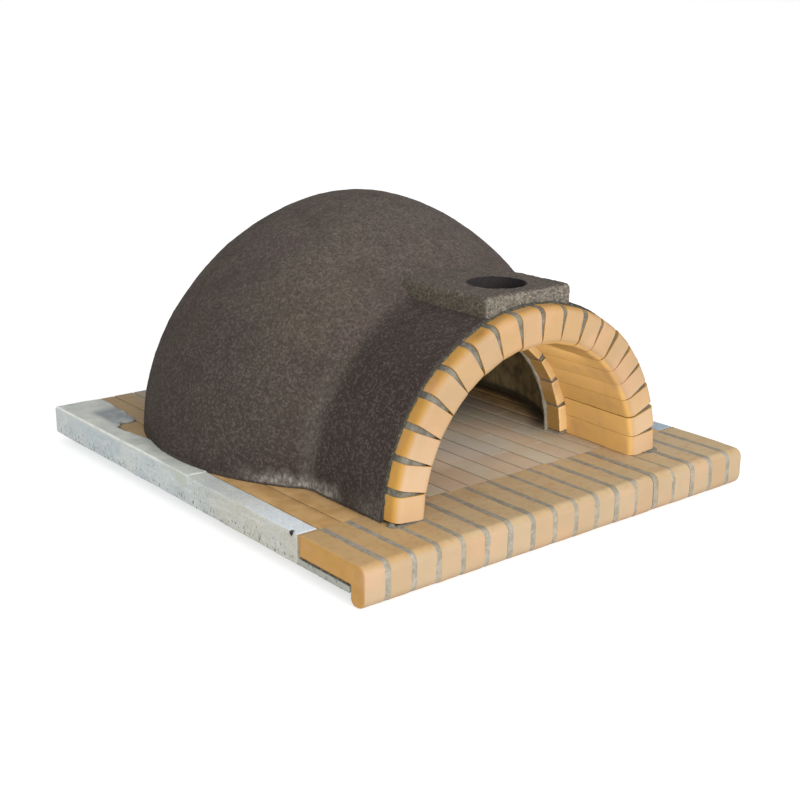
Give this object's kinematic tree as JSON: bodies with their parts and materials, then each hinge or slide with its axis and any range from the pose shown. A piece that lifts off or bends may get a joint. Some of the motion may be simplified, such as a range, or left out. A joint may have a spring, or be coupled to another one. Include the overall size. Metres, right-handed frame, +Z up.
{
  "type": "wood fired pizza oven",
  "caption": "Low rendered dome oven on a concrete slab, with a brick arch and vestibule, a firebrick floor, a brick nosing and a square flue block.",
  "frame": {"origin": "on the slab's underside, on the oven's middle plane, midway between the front of the nosing bricks and the rear of the slab", "axes": "+Z up, -Y out of the mouth, +X to the right of someone facing the mouth"},
  "size_m": [1.087, 1.235, 0.625],
  "materials": {
    "firebrick": "matt pressed firebrick, pale buff with orange edges",
    "floor_brick": "matt smooth firebrick, tan",
    "mortar": "matt grey mortar, sandy",
    "concrete": "matt cast concrete with pits",
    "granular_render": "matt granular insulating render, dark brown grey",
    "refractory": "matt cast refractory"
  },
  "bodies": {
    "root": {"arch_brick_01": "firebrick", "arch_brick_02": "firebrick", "arch_brick_03": "firebrick", "arch_brick_04": "firebrick", "arch_brick_05": "firebrick", "arch_brick_06": "firebrick", "arch_brick_07": "firebrick", "arch_brick_08": "firebrick", "arch_brick_09": "firebrick", "arch_brick_10": "firebrick", "arch_brick_11": "firebrick", "arch_brick_12": "firebrick", "arch_brick_13": "firebrick", "arch_brick_14": "firebrick", "arch_brick_15": "firebrick", "arch_brick_16": "firebrick", "arch_brick_17": "firebrick", "arch_brick_18": "firebrick", "arch_brick_19": "firebrick", "arch_mortar": "mortar", "base_slab": "concrete", "chimney_block": "granular_render", "dome_lining": "refractory", "door_brick_01": "firebrick", "door_brick_02": "firebrick", "door_brick_03": "firebrick", "door_brick_04": "firebrick", "door_brick_05": "firebrick", "door_brick_06": "firebrick", "door_brick_07": "firebrick", "door_brick_08": "firebrick", "door_brick_09": "firebrick", "door_brick_10": "firebrick", "door_brick_11": "firebrick", "door_brick_12": "firebrick", "door_brick_13": "firebrick", "door_mortar": "mortar", "floor_bed": "mortar", "floor_bricks": "floor_brick", "nosing_brick_01": "firebrick", "nosing_brick_02": "firebrick", "nosing_brick_03": "firebrick", "nosing_brick_04": "firebrick", "nosing_brick_05": "firebrick", "nosing_brick_06": "firebrick", "nosing_brick_07": "firebrick", "nosing_brick_08": "firebrick", "nosing_brick_09": "firebrick", "nosing_brick_10": "firebrick", "nosing_brick_11": "firebrick", "nosing_brick_12": "firebrick", "nosing_brick_13": "firebrick", "nosing_brick_14": "firebrick", "nosing_brick_15": "firebrick", "nosing_brick_16": "firebrick", "nosing_brick_17": "firebrick", "nosing_brick_18": "firebrick", "nosing_mortar": "mortar", "render_shell": "granular_render", "rim_smear": "mortar"}
  },
  "joints": []
}
